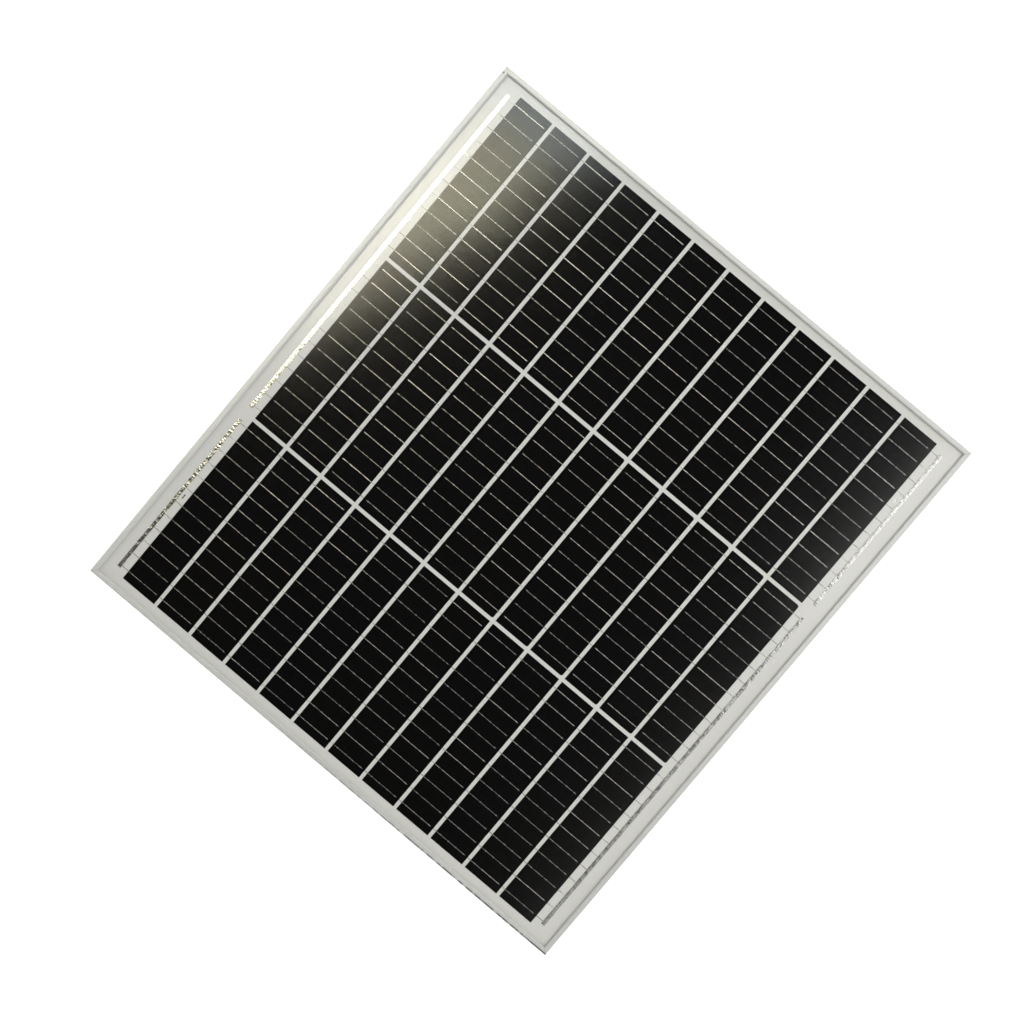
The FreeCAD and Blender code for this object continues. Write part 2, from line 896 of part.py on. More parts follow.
def gland_body(x):
    """A spigot through the wall, a collar outside it and a barrel that holds the seal."""
    body = fuse(
        gland_rod(spigot_radius, x, spigot_end_y, collar_front_y),
        gland_rod(collar_radius, x, box_front_y, collar_front_y),
        gland_rod(barrel_radius, x, collar_front_y, barrel_end_y),
    )
    outside = barrel_end_y - overshoot
    passage = gland_rod(cable_passage_radius, x, spigot_end_y + overshoot, outside)
    pocket = gland_rod(seal_outer_radius, x, barrel_end_y + seal_pocket_depth, outside)
    return body.cut([passage, pocket])


def gland_locknut(x):
    """A ring that holds the gland from inside the box."""
    inside = box_front_y + box_wall
    ring = gland_rod(locknut_radius, x, inside, spigot_end_y)
    hole = gland_rod(spigot_radius, x, inside - overshoot, spigot_end_y + overshoot)
    return ring.cut(hole)


def gland_seal(x):
    """The rubber bush that closes on the cable."""
    start = barrel_end_y + seal_pocket_depth
    bush = gland_rod(seal_outer_radius, x, start, start - seal_length)
    hole = gland_rod(seal_bore_radius, x, start + overshoot, barrel_end_y - overshoot)
    return bush.cut(hole)


def gland_nut(x):
    """The hexagonal cap nut over the barrel."""
    corner_radius = nut_across_flats / math.sqrt(3)
    points = []
    for corner in range(6):
        angle = math.radians(60 * corner)
        across = corner_radius * math.cos(angle)
        up = corner_radius * math.sin(angle)
        points.append(FreeCAD.Vector(x + across, nut_start_y, gland_level + up))
    hexagon = prism(points, FreeCAD.Vector(0, nut_end_y - nut_start_y, 0))
    open_end = nut_start_y + overshoot
    cavity = gland_rod(barrel_radius + nut_clearance, x, open_end, barrel_end_y)
    mouth = gland_rod(nut_mouth_radius, x, barrel_end_y + overshoot, nut_end_y - overshoot)
    return hexagon.cut([cavity, mouth])


# --- Nodes -------------------------------------------------------------------------------
nodes = {
    "frame_rail_left": side_rail(-1),
    "frame_rail_right": side_rail(1),
    "frame_rail_top": end_rail(1),
    "frame_rail_bottom": end_rail(-1),
    "corner_key_top_left": corner_key(-1, 1),
    "corner_key_top_right": corner_key(1, 1),
    "corner_key_bottom_left": corner_key(-1, -1),
    "corner_key_bottom_right": corner_key(1, -1),
    "edge_sealant": edge_sealant(),
    "front_glass": plate(glass_x, glass_y, glass_bottom, glass_top),
    "front_encapsulant": front_encapsulant(),
    "rear_encapsulant": rear_encapsulant(),
    "backsheet": backsheet(),
    "bus_ribbon_left_upper": bus_ribbon(-1, 0, 1),
    "bus_ribbon_left_lower": bus_ribbon(-1, 2, 2),
    "bus_ribbon_right_upper": bus_ribbon(1, 0, 0),
    "bus_ribbon_right_lower": bus_ribbon(1, 1, 2),
    "lead_ribbon_positive": lead_ribbon(1),
    "lead_ribbon_negative": lead_ribbon(-1),
    "insulation_strip_positive": insulation_strip(1),
    "insulation_strip_negative": insulation_strip(-1),
    "junction_box_base": junction_box_base(),
    "junction_box_adhesive": junction_box_adhesive(),
    "junction_box_lid": junction_box_lid(),
    "lid_gasket": lid_gasket(),
    "hinge_pin_left": hinge_pin(hinge_centres[0]),
    "hinge_pin_right": hinge_pin(hinge_centres[1]),
    "terminal_positive": terminal(1),
    "terminal_negative": terminal(-1),
    "terminal_screws": Part.makeCompound(
        [terminal_screw(x, y) for side in (-1, 1) for x, y in screw_places(side)]
    ),
    "bypass_diode": bypass_diode(),
    "rating_label": plate(
        label_x, label_y, backsheet_bottom - label_thickness, backsheet_bottom, label_centre
    ),
}
for row, row_name in enumerate(row_names):
    row_cells = [cell(row, column) for column in range(column_count)]
    nodes["cell_string_" + row_name] = Part.makeCompound(row_cells)
    nodes["cell_ribbons_" + row_name] = row_ribbons(row)
for side_name, gland_x in zip(("left", "right"), gland_centres):
    nodes["gland_body_" + side_name] = gland_body(gland_x)
    nodes["gland_locknut_" + side_name] = gland_locknut(gland_x)
    nodes["gland_seal_" + side_name] = gland_seal(gland_x)
    nodes["gland_nut_" + side_name] = gland_nut(gland_x)

os.makedirs("parts", exist_ok=True)
for name, shape in nodes.items():
    shape.exportStep(os.path.join("parts", name + ".step"))
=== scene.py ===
"""A framed solar panel, face up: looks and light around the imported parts.

Metres, +Z out of the glass, +X across the cells' short sides, +Y along their long sides.
The sections follow the panel as it is put together, from the front to the back.
"""

import math

import bpy
from mathutils import Matrix, Vector


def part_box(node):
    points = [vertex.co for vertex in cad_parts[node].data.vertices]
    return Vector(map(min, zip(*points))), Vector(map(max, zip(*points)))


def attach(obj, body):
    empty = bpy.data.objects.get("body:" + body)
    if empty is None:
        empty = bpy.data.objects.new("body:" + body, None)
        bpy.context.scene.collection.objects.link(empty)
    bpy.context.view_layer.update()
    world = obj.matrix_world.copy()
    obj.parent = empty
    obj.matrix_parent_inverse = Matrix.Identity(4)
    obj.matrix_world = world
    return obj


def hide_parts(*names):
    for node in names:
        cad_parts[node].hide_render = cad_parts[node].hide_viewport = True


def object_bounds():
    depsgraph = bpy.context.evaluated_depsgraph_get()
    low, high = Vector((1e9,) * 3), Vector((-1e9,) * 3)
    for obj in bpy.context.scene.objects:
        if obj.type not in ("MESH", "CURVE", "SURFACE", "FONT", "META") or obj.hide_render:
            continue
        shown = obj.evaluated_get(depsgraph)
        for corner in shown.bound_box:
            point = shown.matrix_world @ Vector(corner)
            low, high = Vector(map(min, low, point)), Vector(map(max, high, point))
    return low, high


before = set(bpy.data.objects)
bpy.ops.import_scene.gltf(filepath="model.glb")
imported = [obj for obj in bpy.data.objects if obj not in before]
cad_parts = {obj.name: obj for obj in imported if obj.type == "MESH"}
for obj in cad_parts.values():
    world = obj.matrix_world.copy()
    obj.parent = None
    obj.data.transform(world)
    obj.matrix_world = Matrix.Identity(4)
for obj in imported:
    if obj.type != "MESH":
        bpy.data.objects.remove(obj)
cad_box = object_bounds()
MM = 0.001

# === Camera ===============================================================================
# A straight look down on the glass, turned in its own plane, so that one corner of the
# panel points up. The turns are those of the panel seen from the camera.
FOCAL_LENGTH = 52.7
SENSOR = 36.0
TURN_X, TURN_Y, TURN_Z = math.radians(2.0), math.radians(1.0), math.radians(40.0)
PANEL_FROM_CAMERA = Vector((13.9, -0.3, 1527.5)) * MM

cells_low, cells_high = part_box("cell_string_top")
cells_low = Vector((cells_low.x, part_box("cell_string_bottom")[0].y, cells_low.z))
cells_centre = (cells_low + cells_high) / 2
cells_centre.z = cells_high.z

flip = Matrix.Diagonal((1.0, -1.0, -1.0))
turn = Matrix.Rotation(TURN_Z, 3, "Z") @ Matrix.Rotation(TURN_Y, 3, "Y") @ Matrix.Rotation(TURN_X, 3, "X")
to_camera = flip @ turn @ flip
camera_data = bpy.data.cameras.new("camera")
camera_data.lens = FOCAL_LENGTH
camera_data.sensor_width = SENSOR
camera = bpy.data.objects.new("camera", camera_data)
bpy.context.scene.collection.objects.link(camera)
place = to_camera.transposed() @ (-(flip @ PANEL_FROM_CAMERA)) + cells_centre
camera.matrix_world = Matrix.Translation(place) @ to_camera.transposed().to_4x4()
bpy.context.scene.camera = camera


# === Light and floor ======================================================================
# A pale room, dark straight above the panel, so that the glass mirrors no lamp. Two soft
# windows break into that dark patch: a warm one on the left and a cool one on the right.
def add(tree, kind, inputs=(), **settings):
    """A new node. inputs gives each socket, by name or number, a value or another socket."""
    node = tree.nodes.new(kind)
    for key, value in settings.items():
        setattr(node, key, value)
    for key, value in dict(inputs).items():
        if isinstance(value, bpy.types.NodeSocket):
            tree.links.new(value, node.inputs[key])
        else:
            node.inputs[key].default_value = value
    return node


def ramp(tree, value, low, high, to_low=0.0, to_high=1.0):
    """value taken smoothly from low..high to to_low..to_high."""
    sockets = {"Value": value, "From Min": low, "From Max": high, "To Min": to_low, "To Max": to_high}
    return add(tree, "ShaderNodeMapRange", sockets, interpolation_type="SMOOTHSTEP").outputs[0]


def mix_colour(tree, factor, a, b):
    """A blend of two colours."""
    return add(tree, "ShaderNodeMix", {"Factor": factor, "A": a, "B": b}, data_type="RGBA").outputs["Result"]


def maths(tree, operation, a, b=0.0):
    """One sum on two values."""
    return add(tree, "ShaderNodeMath", {0: a, 1: b}, operation=operation).outputs[0]


def product(tree, first, *others):
    """Several values multiplied."""
    for other in others:
        first = maths(tree, "MULTIPLY", first, other)
    return first


# A slope is how far sideways a direction runs for each metre up. A pair of numbers gives
# where a change begins and where it ends.
LOWEST_UP = 0.02
WALL_LIGHT, LOW_LIGHT, OVERHEAD_LIGHT = 0.57, 0.33, 0.028
WALL_RISE = (0.1, 0.7)
DARK_PATCH = (0.895, 0.945)
DIM_TO_BRIGHT_X, DIM_X, BRIGHT_X = (-0.6, 0.6), 0.86, 1.22
DIM_TO_BRIGHT_Y, DIM_Y, BRIGHT_Y = (-0.5, 0.3), 0.76, 1.0
LEFT_WINDOW, RIGHT_WINDOW, RIGHT_GLOW = 9.6, 2.5, 0.22
WARM_LIGHT = (0.96, 0.97, 0.70, 1)
ROSE_LIGHT = (1.0, 0.88, 0.72, 1)
COOL_LIGHT = (0.88, 0.97, 1.0, 1)

world = bpy.data.worlds.new("studio")
bpy.context.scene.world = world
world.use_nodes = True
tree = world.node_tree
tree.nodes.clear()
direction = add(tree, "ShaderNodeTexCoord").outputs["Generated"]
toward = add(tree, "ShaderNodeSeparateXYZ", {0: direction})
up = maths(tree, "MAXIMUM", toward.outputs["Z"], LOWEST_UP)
slope_x = maths(tree, "DIVIDE", toward.outputs["X"], up)
slope_y = maths(tree, "DIVIDE", toward.outputs["Y"], up)
walls = product(
    tree,
    ramp(tree, toward.outputs["Z"], *WALL_RISE, LOW_LIGHT, WALL_LIGHT),
    ramp(tree, toward.outputs["Z"], *DARK_PATCH, 1.0, OVERHEAD_LIGHT / WALL_LIGHT),
    ramp(tree, toward.outputs["X"], *DIM_TO_BRIGHT_X, DIM_X, BRIGHT_X),
    ramp(tree, toward.outputs["Y"], *DIM_TO_BRIGHT_Y, DIM_Y, BRIGHT_Y),
)

# The left window's edge leans: edge counts from it towards the panel's middle.
EDGE_START = Vector((-0.137, 0.128))
EDGE_LEAN = Vector((0.940, -0.342))
EDGE_SOFTNESS = (-0.030, 0.012)
EDGE_WOBBLE = 0.035
LEFT_FAR_SIDE = (-0.36, -0.28)
LEFT_FOOT = (-0.10, -0.02)
LEFT_DIMMER, LEFT_DIMMED = (0.08, 0.19), 0.55
WINDOW_TOPS = (0.24, 0.32)
from_x = maths(tree, "SUBTRACT", slope_x, EDGE_START.x)
from_y = maths(tree, "SUBTRACT", slope_y, EDGE_START.y)
blotches = add(tree, "ShaderNodeTexNoise", {"Vector": direction, "Scale": 40.0, "Detail": 3.0})
wobble = maths(tree, "MULTIPLY", maths(tree, "SUBTRACT", blotches.outputs["Fac"], 0.5), EDGE_WOBBLE)
across = maths(tree, "ADD", product(tree, from_x, EDGE_LEAN.x), product(tree, from_y, EDGE_LEAN.y))
edge = maths(tree, "ADD", across, wobble)
left_window = product(
    tree,
    ramp(tree, edge, *EDGE_SOFTNESS, LEFT_WINDOW, 0.0),
    ramp(tree, slope_x, *LEFT_FAR_SIDE),
    ramp(tree, slope_y, *LEFT_DIMMER, 1.0, LEFT_DIMMED),
    ramp(tree, slope_y, *WINDOW_TOPS, 1.0, 0.0),
    ramp(tree, slope_y, *LEFT_FOOT),
)

# The right window stands in a wider faint glow, and is dimmer towards its foot.
RIGHT_NEAR_SIDE, RIGHT_FAR_SIDE = (0.166, 0.186), (0.32, 0.40)
GLOW_SIDE = (0.080, 0.170)
RIGHT_FOOT = (-0.34, -0.26)
RIGHT_DIMMER, RIGHT_DIMMED = (0.020, 0.060), 0.28
right_window = product(
    tree,
    maths(
        tree,
        "ADD",
        ramp(tree, slope_x, *RIGHT_NEAR_SIDE, 0.0, RIGHT_WINDOW),
        ramp(tree, slope_x, *GLOW_SIDE, 0.0, RIGHT_GLOW),
    ),
    ramp(tree, slope_y, *RIGHT_DIMMER, RIGHT_DIMMED, 1.0),
    ramp(tree, slope_y, *RIGHT_FOOT),
    ramp(tree, slope_x, *RIGHT_FAR_SIDE, 1.0, 0.0),
    ramp(tree, slope_y, *WINDOW_TOPS, 1.0, 0.0),
)

# The left window is warm with rosy blotches, and cool at its top.
ROSY_BLOTCHES = (0.42, 0.60)
COOL_TOP = (0.148, 0.178)
warm = mix_colour(tree, ramp(tree, blotches.outputs["Fac"], *ROSY_BLOTCHES), WARM_LIGHT, ROSE_LIGHT)
warm = mix_colour(tree, ramp(tree, slope_y, *COOL_TOP), warm, COOL_LIGHT)
sky = add(tree, "ShaderNodeBackground", {"Color": (1, 0.995, 0.985, 1), "Strength": walls})
left_sky = add(tree, "ShaderNodeBackground", {"Color": warm, "Strength": left_window})
right_sky = add(tree, "ShaderNodeBackground", {"Color": (1, 1, 0.985, 1), "Strength": right_window})
room = add(tree, "ShaderNodeAddShader", {0: sky.outputs[0], 1: left_sky.outputs[0]})
room = add(tree, "ShaderNodeAddShader", {0: room.outputs[0], 1: right_sky.outputs[0]})
add(tree, "ShaderNodeOutputWorld", {"Surface": room.outputs[0]})

FLOOR_SIZE = 6.0
FLOOR_GAP = 0.2 * MM
FLOOR_GLOW = 0.75


def new_material(name):
    """A material with an empty node tree and its output node."""
    material = bpy.data.materials.new(name)
    material.use_nodes = True
    material.node_tree.nodes.clear()
    output = add(material.node_tree, "ShaderNodeOutputMaterial")
    return material, material.node_tree, output


def mesh_object(name, vertices, faces, material):
    """A new object at the origin from points and faces."""
    mesh = bpy.data.meshes.new(name)
    mesh.from_pydata(vertices, [], faces)
    mesh.materials.append(material)
    piece = bpy.data.objects.new(name, mesh)
    bpy.context.scene.collection.objects.link(piece)
    return piece


floor_paint, tree, output = new_material("floor_paint")
mottle = add(tree, "ShaderNodeTexNoise", {"Scale": 3.0, "Detail": 2.0})
shade = mix_colour(tree, mottle.outputs["Fac"], (0.88, 0.88, 0.88, 1), (0.92, 0.92, 0.91, 1))
paint = add(
    tree,
    "ShaderNodeBsdfPrincipled",
    {
        "Base Color": shade,
        "Roughness": 0.9,
        "Specular IOR Level": 0.1,
        "Emission Color": (1, 1, 1, 1),
        "Emission Strength": FLOOR_GLOW,
    },
)
tree.links.new(paint.outputs[0], output.inputs["Surface"])
half = FLOOR_SIZE / 2
floor = mesh_object(
    "studio_floor",
    [(x * half, y * half, -FLOOR_GAP) for x, y in ((-1, -1), (1, -1), (1, 1), (-1, 1))],
    [(0, 1, 2, 3)],
    floor_paint,
)


# The lamp lights the white parts from high up, and the glass doesn't mirror it.
LAMP_PLACE = Vector((0.42, 0.34, 1.5))
LAMP_SIZE = 0.7
LAMP_POWER = 9.4

lamp_data = bpy.data.lights.new("key_lamp", "AREA")
lamp_data.shape = "RECTANGLE"
lamp_data.size = lamp_data.size_y = LAMP_SIZE
lamp_data.energy = LAMP_POWER
lamp_data.color = (1, 1, 0.99)
key_lamp = bpy.data.objects.new("key_lamp", lamp_data)
bpy.context.scene.collection.objects.link(key_lamp)
facing = (-LAMP_PLACE).to_track_quat("-Z", "Y").to_matrix().to_4x4()
key_lamp.matrix_world = Matrix.Translation(LAMP_PLACE) @ facing
key_lamp.visible_glossy = False
key_lamp.visible_camera = False


# === Frame rails ==========================================================================
# Four lengths of one aluminium extrusion, mitred and pressed on to corner keys. Clear
# anodised: satin, with faint die lines along each length and small rubs at the corners.
def new_group(name, inputs, outputs):
    """An empty shader group. inputs and outputs map a name to a socket type and a value."""
    group = bpy.data.node_groups.new(name, "ShaderNodeTree")
    for label, (kind, value) in inputs.items():
        socket = group.interface.new_socket(label, in_out="INPUT", socket_type="NodeSocket" + kind)
        if value is not None:
            socket.default_value = value
    for label, kind in outputs.items():
        group.interface.new_socket(label, in_out="OUTPUT", socket_type="NodeSocket" + kind)
    source = group.nodes.new("NodeGroupInput").outputs
    sink = group.nodes.new("NodeGroupOutput").inputs
    return group, source, sink


def use_group(tree, group, inputs=()):
    """A group node with its own values."""
    node = tree.nodes.new("ShaderNodeGroup")
    node.node_tree = group
    for key, value in dict(inputs).items():
        if isinstance(value, bpy.types.NodeSocket):
            tree.links.new(value, node.inputs[key])
        else:
            node.inputs[key].default_value = value
    return node


NOISE_SPREAD = (0.3, 0.7)


def end_relief(group, source, sink, relief, label):
    """Links a group's relief to its outputs: itself, a roughness between two and a bumped normal."""
    sockets = {
        "Value": relief,
        "From Min": NOISE_SPREAD[0],
        "From Max": NOISE_SPREAD[1],
        "To Min": source["Roughness low"],
        "To Max": source["Roughness high"],
    }
    rough = add(group, "ShaderNodeMapRange", sockets)
    bump = add(group, "ShaderNodeBump", {"Strength": 1.0, "Distance": source["Depth"], "Height": relief})
    group.links.new(relief, sink[label])
    group.links.new(rough.outputs[0], sink["Roughness"])
    group.links.new(bump.outputs[0], sink["Normal"])


# Lines left by a die or a roller, along the local X of the vector that it is given.
drawn_lines, source, sink = new_group(
    "drawn_lines",
    {
        "Vector": ("Vector", None),
        "Lines per metre": ("Float", 900.0),
        "Stretch": ("Float", 0.01),
        "Roughness low": ("Float", 0.3),
        "Roughness high": ("Float", 0.5),
        "Depth": ("Float", 0.00002),
    },
    {"Lines": "Float", "Roughness": "Float", "Normal": "Vector"},
)
scale = add(drawn_lines, "ShaderNodeCombineXYZ", {0: source["Stretch"], 1: 1.0, 2: 1.0})
stretched = add(
    drawn_lines, "ShaderNodeVectorMath", {0: source["Vector"], 1: scale.outputs[0]}, operation="MULTIPLY"
)
lines = add(
    drawn_lines,
    "ShaderNodeTexNoise",
    {"Vector": stretched.outputs[0], "Scale": source["Lines per metre"], "Detail": 3.0, "Roughness": 0.6},
)
end_relief(drawn_lines, source, sink, lines.outputs["Fac"], "Lines")

# Patches of handling: rubs, dust and smears, as a mask.
handling, source, sink = new_group(
    "handling",
    {
        "Vector": ("Vector", None),
        "Patches per metre": ("Float", 40.0),
        "Cover": ("Float", 0.3),
    },
    {"Mask": "Float"},
)
broad = add(
    handling,
    "ShaderNodeTexNoise",
    {"Vector": source["Vector"], "Scale": source["Patches per metre"], "Detail": 5.0, "Roughness": 0.65},
)
BARE_LEVEL, COVER_GAIN, PATCH_EDGE = 0.78, 0.4, 0.12
edge = maths(handling, "SUBTRACT", BARE_LEVEL, maths(handling, "MULTIPLY", source["Cover"], COVER_GAIN))
mask = ramp(handling, broad.outputs["Fac"], edge, maths(handling, "ADD", edge, PATCH_EDGE))
handling.links.new(mask, sink["Mask"])

ANODISED_LIGHT = (0.80, 0.80, 0.79, 1)
ANODISED_DARK = (0.71, 0.715, 0.71, 1)
RUBBED = (0.13, 0.13, 0.12, 1)
JOINT_DIRT = (0.25, 0.25, 0.24, 1)
CORNER_REACH = (0.39, 0.45)
FOOT_EDGE = (1.0 * MM, 2.6 * MM)
SCUFFED_FROM = (-0.1, 0.25)
SCUFF_LEAST = 0.15
MITRE_LINE = 0.35 * MM
PUNCH_MARK = Vector((-303.4, 326.4, 25.0)) * MM
PUNCH_RADIUS = 1.5 * MM


def anodised(name, quarter_turn):
    """Satin anodised aluminium, with its die lines along X, or along Y after a quarter turn."""
    material, tree, output = new_material(name)
    place = add(tree, "ShaderNodeTexCoord").outputs["Object"]
    angle = math.radians(90) if quarter_turn else 0.0
    along = add(tree, "ShaderNodeMapping", {"Vector": place, "Rotation": (0, 0, angle)}).outputs[0]
    lines = use_group(
        tree,
        drawn_lines,
        {"Vector": along, "Roughness low": 0.34, "Roughness high": 0.48, "Depth": 0.004 * MM},
    )
    tone = mix_colour(tree, lines.outputs["Lines"], ANODISED_DARK, ANODISED_LIGHT)

    # Rubs show at the corners and along the outer edge of the rail that it stands on.
    rubs = use_group(tree, handling, {"Vector": along, "Patches per metre": 90.0, "Cover": 0.45})
    scuffs = use_group(tree, handling, {"Vector": place, "Patches per metre": 190.0, "Cover": 0.95})
    xyz = add(tree, "ShaderNodeSeparateXYZ", {0: place})
    in_from_end = maths(tree, "SUBTRACT", cad_box[1].x, maths(tree, "ABSOLUTE", xyz.outputs["X"]))
    in_from_side = maths(tree, "SUBTRACT", cad_box[1].y, maths(tree, "ABSOLUTE", xyz.outputs["Y"]))
    spread = add(tree, "ShaderNodeVectorMath", {0: place}, operation="LENGTH").outputs["Value"]
    at_corners = ramp(tree, spread, *CORNER_REACH)
    at_foot = product(
        tree,
        ramp(tree, xyz.outputs["Y"], cad_box[0].y + FOOT_EDGE[0], cad_box[0].y + FOOT_EDGE[1], 1.0, 0.0),
        ramp(tree, xyz.outputs["X"], *SCUFFED_FROM, SCUFF_LEAST, 1.0),
        scuffs.outputs["Mask"],
    )
    worn = maths(tree, "MULTIPLY", rubs.outputs["Mask"], at_corners)
    worn = maths(tree, "MAXIMUM", worn, at_foot)
    colour = mix_colour(tree, worn, tone, RUBBED)

    # A hairline of dirt fills each mitre, and one lip has a punch mark beside its corner.
    from_mitre = maths(tree, "ABSOLUTE", maths(tree, "SUBTRACT", in_from_end, in_from_side))
    hairline = ramp(tree, from_mitre, MITRE_LINE * 0.3, MITRE_LINE, 0.7, 0.0)
    mitre = maths(tree, "MULTIPLY", hairline, at_corners)
    colour = mix_colour(tree, mitre, colour, JOINT_DIRT)
    from_mark = add(tree, "ShaderNodeVectorMath", {0: place, 1: tuple(PUNCH_MARK)}, operation="DISTANCE")
    mark = ramp(tree, from_mark.outputs["Value"], PUNCH_RADIUS * 0.6, PUNCH_RADIUS, 0.8, 0.0)
    colour = mix_colour(tree, mark, colour, JOINT_DIRT)
    metal = add(
        tree,
        "ShaderNodeBsdfPrincipled",
        {
            "Base Color": colour,
            "Metallic": 0.55,
            "Roughness": lines.outputs["Roughness"],
            "Normal": lines.outputs["Normal"],
        },
    )
    tree.links.new(metal.outputs[0], output.inputs["Surface"])
    return material


def finish_node(name, material):
    """Gives a CAD node its material."""
    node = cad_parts[name]
    for slot in node.material_slots:
        slot.material = material
    return node


anodised_x = anodised("anodised_end_rails", False)
anodised_y = anodised("anodised_side_rails", True)
for name in ("frame_rail_top", "frame_rail_bottom"):
    finish_node(name, anodised_x)
for name in ("frame_rail_left", "frame_rail_right"):
    finish_node(name, anodised_y)

# === Corner keys ==========================================================================
# Sawn aluminium angles inside the rails' chambers, notched so that the crimps hold them.
key_metal, tree, output = new_material("corner_key_metal")
place = add(tree, "ShaderNodeTexCoord").outputs["Object"]
saw = use_group(
    tree,
    drawn_lines,
    {
        "Vector": place,
        "Lines per metre": 600.0,
        "Stretch": 0.2,
        "Roughness low": 0.4,
        "Roughness high": 0.65,
    },
)
metal = add(
    tree,
    "ShaderNodeBsdfPrincipled",
    {
        "Base Color": mix_colour(tree, saw.outputs["Lines"], (0.55, 0.55, 0.55, 1), (0.72, 0.72, 0.72, 1)),
        "Metallic": 1.0,
        "Roughness": saw.outputs["Roughness"],
        "Normal": saw.outputs["Normal"],
    },
)
tree.links.new(metal.outputs[0], output.inputs["Surface"])
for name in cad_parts:
    if name.startswith("corner_key"):
        finish_node(name, key_metal)

# === Edge sealant =========================================================================
# White silicone pressed into the rails' groove around the laminate. Only a thin line of it
# shows, where it stops short of the lip, and it holds a little grime.
moulded_grain, source, sink = new_group(
    "moulded_grain",
    {
        "Vector": ("Vector", None),
        "Grains per metre": ("Float", 1500.0),
        "Roughness low": ("Float", 0.5),
        "Roughness high": ("Float", 0.7),
        "Depth": ("Float", 0.00003),
    },
    {"Grain": "Float", "Roughness": "Float", "Normal": "Vector"},
)
grain = add(
    moulded_grain,
    "ShaderNodeTexNoise",
    {"Vector": source["Vector"], "Scale": source["Grains per metre"], "Detail": 2.0},
)
end_relief(moulded_grain, source, sink, grain.outputs["Fac"], "Grain")


COAT_ROUGHNESS = 0.09
MARK_GAIN, MARK_LEAST = 1.25, 0.01


def moulded(name, light, dark, rough_low, rough_high, grains=1500.0, depth=0.02 * MM, coat=0.0):
    """A moulded or cast surface: two close tones, a fine grain and faint handling marks."""
    material, tree, output = new_material(name)
    place = add(tree, "ShaderNodeTexCoord").outputs["Object"]
    skin = use_group(
        tree,
        moulded_grain,
        {
            "Vector": place,
            "Grains per metre": grains,
            "Roughness low": rough_low,
            "Roughness high": rough_high,
            "Depth": depth,
        },
    )
    marks = use_group(tree, handling, {"Vector": place, "Patches per metre": 70.0, "Cover": 0.3})
    tone = mix_colour(tree, skin.outputs["Grain"], dark, light)
    lifted = [min(1.0, c * MARK_GAIN + MARK_LEAST) for c in light[:3]] + [1.0]
    colour = mix_colour(tree, maths(tree, "MULTIPLY", marks.outputs["Mask"], 0.5), tone, lifted)
    surface = add(
        tree,
        "ShaderNodeBsdfPrincipled",
        {
            "Base Color": colour,
            "Roughness": skin.outputs["Roughness"],
            "Normal": skin.outputs["Normal"],
            "Coat Weight": coat,
            "Coat Roughness": COAT_ROUGHNESS,
        },
    )
    tree.links.new(surface.outputs[0], output.inputs["Surface"])
    return material


finish_node(
    "edge_sealant",
    moulded("white_silicone", (0.78, 0.78, 0.75, 1), (0.62, 0.62, 0.59, 1), 0.45, 0.65, grains=500.0),
)

# === Front glass ==========================================================================
# Tempered low-iron glass with a finely rolled texture, bonded to the clear film below it,
# so the two are one slab to the eye. The cells and white film pressed against it wear its
# square-on gloss as their coat, and the slab adds the rest at low angles.
ARRIS = 0.4 * MM
GLASS_INDEX = 1.5
SQUARE_ON_GLOSS = 0.04
LOW_ANGLE_SHARE = 0.5
PRESSED_COAT = 1.0
GLASS_TINT = (0.978, 0.978, 0.973, 1)

glass_low, glass_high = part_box("front_glass")
slab_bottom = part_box("cell_ribbons_top")[1].z

clear_glass, tree, output = new_material("rolled_solar_glass")
geometry = add(tree, "ShaderNodeNewGeometry")
place = add(tree, "ShaderNodeTexCoord").outputs["Object"]
ripple = use_group(
    tree,
    moulded_grain,
    {
        "Vector": place,
        "Grains per metre": 700.0,
        "Roughness low": 0.08,
        "Roughness high": 0.11,
        "Depth": 0.003 * MM,
    },
)
outside = maths(tree, "SUBTRACT", 1.0, geometry.outputs["Backfacing"])
mirrored = add(tree, "ShaderNodeFresnel", {"IOR": GLASS_INDEX, "Normal": ripple.outputs["Normal"]})
low_angle_gloss = maths(tree, "SUBTRACT", mirrored.outputs[0], SQUARE_ON_GLOSS)
share = product(tree, low_angle_gloss, outside, LOW_ANGLE_SHARE)
through = add(tree, "ShaderNodeBsdfTransparent", {"Color": GLASS_TINT})
shine = add(
    tree,
    "ShaderNodeBsdfAnisotropic",
    {
        "Color": (1, 1, 1, 1),
        "Roughness": ripple.outputs["Roughness"],
        "Normal": ripple.outputs["Normal"],
    },
)
pane = add(tree, "ShaderNodeMixShader", {0: share, 1: through.outputs[0], 2: shine.outputs[0]})
tree.links.new(pane.outputs[0], output.inputs["Surface"])


def slab(name, low, high, arris, material):
    """A closed slab with its upper edges taken off."""
    rings = [
        (low.x, low.y, high.x, high.y, low.z),
        (low.x, low.y, high.x, high.y, high.z - arris),
        (low.x + arris, low.y + arris, high.x - arris, high.y - arris, high.z),
    ]
    vertices = []
    for x0, y0, x1, y1, z in rings:
        vertices += [(x0, y0, z), (x1, y0, z), (x1, y1, z), (x0, y1, z)]
    faces = [(3, 2, 1, 0), (8, 9, 10, 11)]
    for ring in range(2):
        for side in range(4):
            a, b = ring * 4 + side, ring * 4 + (side + 1) % 4
            faces.append((a, b, b + 4, a + 4))
    return mesh_object(name, vertices, faces, material)


glass = slab(
    "front_glass_bonded",
    Vector((glass_low.x, glass_low.y, slab_bottom)),
    glass_high,
    ARRIS,
    clear_glass,
)
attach(glass, "panel")
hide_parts("front_glass", "front_encapsulant")

